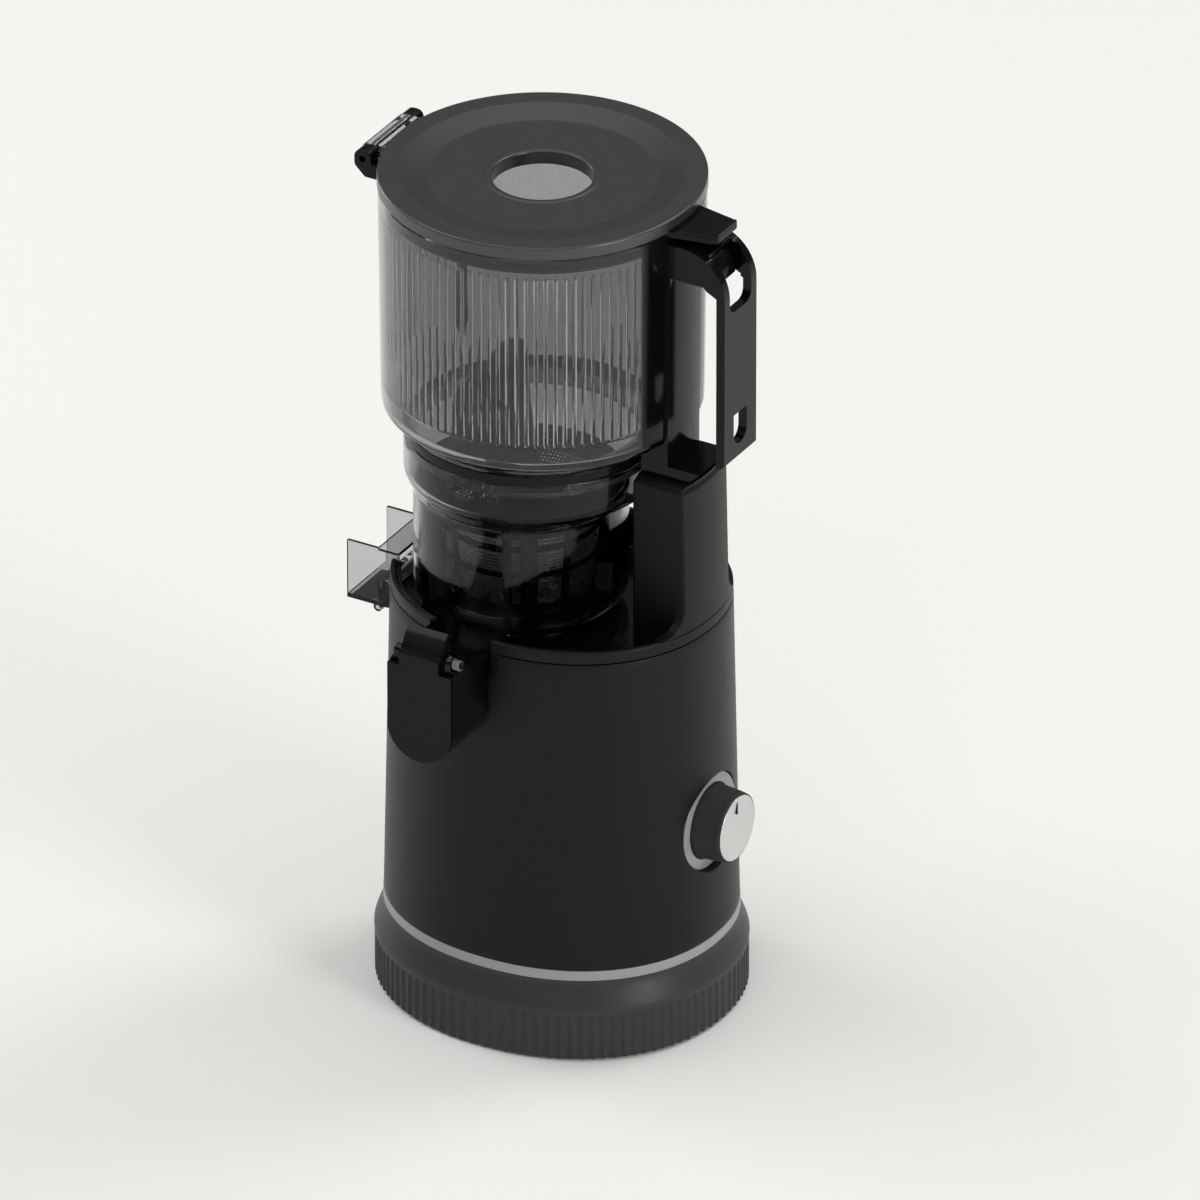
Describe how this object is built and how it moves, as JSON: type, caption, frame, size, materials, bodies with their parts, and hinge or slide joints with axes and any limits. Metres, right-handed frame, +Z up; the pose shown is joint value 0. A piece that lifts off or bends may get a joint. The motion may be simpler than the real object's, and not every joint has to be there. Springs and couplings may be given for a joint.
{
  "type": "cold press juicer",
  "caption": "Upright slow juicer: oval casing on a fluted plinth, smoky drum with capped juice spout and pulp chute, ribbed hopper, hinged lid, strap handle.",
  "frame": {"origin": "on the table under the axis of the oval casing", "axes": "+Z up, -Y towards the juice spout, +X towards the knob and the handle, -X towards the lid hinge and the pulp chute"},
  "size_m": [0.226, 0.2173, 0.49],
  "materials": {
    "plinth_grey": "satin",
    "trim_grey": "satin",
    "casing_black": "satin",
    "gloss_black": "gloss",
    "rubber_black": "matt",
    "smoky_clear": "clear smoky",
    "lid_grey": "satin",
    "steel": "brushed",
    "spun_metal": "spun",
    "motor_steel": "satin",
    "copper_winding": "enamelled",
    "cast_case": "cast",
    "gear_white": "matt",
    "board_green": "satin"
  },
  "bodies": {
    "base": {"foot_ring": "plinth_grey", "base_plate": "gloss_black", "rubber_feet": "rubber_black", "base_screws": "steel", "trim_ring": "trim_grey", "body_housing": "casing_black", "rim_band": "casing_black", "deck": "gloss_black", "column": "casing_black", "knob_bezel": "trim_grey", "motor_can": "motor_steel", "motor_stator": "copper_winding", "motor_cap": "motor_steel", "motor_mounts": "rubber_black", "motor_bearings": "steel", "gearbox_case": "cast_case", "gearbox_lid": "cast_case", "gearbox_screws": "steel", "shaft_bearings": "steel", "shaft_seal": "rubber_black", "control_board": "board_green", "selector_switch": "gear_white", "interlock_switch": "gloss_black", "power_inlet": "gloss_black"},
    "rotor_body": {"rotor": "steel", "motor_fan": "gloss_black", "rotor_shaft": "steel"},
    "layshaft_body": {"layshaft_wheel": "gear_white", "layshaft_pinion": "steel"},
    "drive_body": {"output_wheel": "gear_white", "drive_shaft": "steel"},
    "knob_body": {"knob": "gloss_black", "knob_cap": "spun_metal", "knob_shaft": "steel"},
    "drum_body": {"drum": "smoky_clear", "drum_seal": "rubber_black", "idler_pins": "steel", "flap_pin": "steel", "flap_spring": "steel", "plug_pin": "steel"},
    "idler_left_body": {"idler_left": "gear_white"},
    "idler_right_body": {"idler_right": "gear_white"},
    "flap_body": {"spout_flap": "gloss_black", "flap_seal": "rubber_black"},
    "plug_body": {"pulp_plug": "rubber_black"},
    "filter_body": {"strainer_frame": "gloss_black", "strainer_mesh": "steel"},
    "brush_body": {"brush_frame": "gloss_black", "brush_wipers": "rubber_black"},
    "auger_body": {"auger": "gloss_black", "auger_bush": "steel"},
    "hopper_body": {"hopper": "smoky_clear", "lock_ring": "gloss_black", "guide_fin": "gloss_black", "hinge_pin": "steel", "handle": "gloss_black", "latch_pin": "steel"},
    "lid_body": {"lid": "lid_grey", "lid_gasket": "rubber_black"},
    "latch_body": {"latch_lever": "gloss_black"}
  },
  "joints": [
    {"name": "rotor_spin", "type": "hinge", "parent": "base", "child": "rotor_body", "pos_m": [-0.025, 0, 0.05], "axis": [0, 0, 1], "continuous": true},
    {"name": "layshaft_spin", "type": "hinge", "parent": "base", "child": "layshaft_body", "pos_m": [0.02, 0, 0.13], "axis": [0, 0, 1], "continuous": true},
    {"name": "drive_spin", "type": "hinge", "parent": "base", "child": "drive_body", "pos_m": [-0.025, 0, 0.18], "axis": [0, 0, 1], "continuous": true},
    {"name": "knob_turn", "type": "hinge", "parent": "base", "child": "knob_body", "pos_m": [0.09, 0, 0.121], "axis": [1, 0, 0], "range_deg": [-45, 45]},
    {"name": "drum_lift", "type": "slide", "parent": "base", "child": "drum_body", "axis": [0, 0, 1], "range_m": [0, 0.08]},
    {"name": "idler_left_spin", "type": "hinge", "parent": "drum_body", "child": "idler_left_body", "pos_m": [-0.025, -0.024, 0.235], "axis": [0, 0, 1], "continuous": true},
    {"name": "idler_right_spin", "type": "hinge", "parent": "drum_body", "child": "idler_right_body", "pos_m": [-0.025, 0.024, 0.235], "axis": [0, 0, 1], "continuous": true},
    {"name": "flap_open", "type": "hinge", "parent": "drum_body", "child": "flap_body", "pos_m": [-0.016, -0.1175, 0.2493], "axis": [-1, 0, 0], "range_deg": [0, 55]},
    {"name": "plug_open", "type": "hinge", "parent": "drum_body", "child": "plug_body", "pos_m": [-0.0985, -0.008, 0.2121], "axis": [0, -1, 0], "range_deg": [0, 70]},
    {"name": "filter_lift", "type": "slide", "parent": "drum_body", "child": "filter_body", "axis": [0, 0, 1], "range_m": [0, 0.07]},
    {"name": "brush_spin", "type": "hinge", "parent": "filter_body", "child": "brush_body", "pos_m": [-0.025, 0, 0.26], "axis": [0, 0, 1], "continuous": true},
    {"name": "auger_spin", "type": "hinge", "parent": "filter_body", "child": "auger_body", "pos_m": [-0.025, 0, 0.28], "axis": [0, 0, 1], "continuous": true},
    {"name": "hopper_lift", "type": "slide", "parent": "drum_body", "child": "hopper_body", "axis": [0, 0, 1], "range_m": [0, 0.06]},
    {"name": "lid_open", "type": "hinge", "parent": "hopper_body", "child": "lid_body", "pos_m": [-0.1063, 0, 0.484], "axis": [0, -1, 0], "range_deg": [0, 110]},
    {"name": "latch_turn", "type": "hinge", "parent": "hopper_body", "child": "latch_body", "pos_m": [0.089, 0, 0.464], "axis": [0, 1, 0], "range_deg": [0, 15]}
  ],
  "couplings": [
    {"joint": "layshaft_spin", "follows": "rotor_spin", "ratio": -0.25},
    {"joint": "drive_spin", "follows": "rotor_spin", "ratio": 0.0625},
    {"joint": "auger_spin", "follows": "rotor_spin", "ratio": 0.0625},
    {"joint": "brush_spin", "follows": "rotor_spin", "ratio": -0.028409},
    {"joint": "idler_left_spin", "follows": "rotor_spin", "ratio": -0.10417},
    {"joint": "idler_right_spin", "follows": "rotor_spin", "ratio": -0.10417}
  ]
}
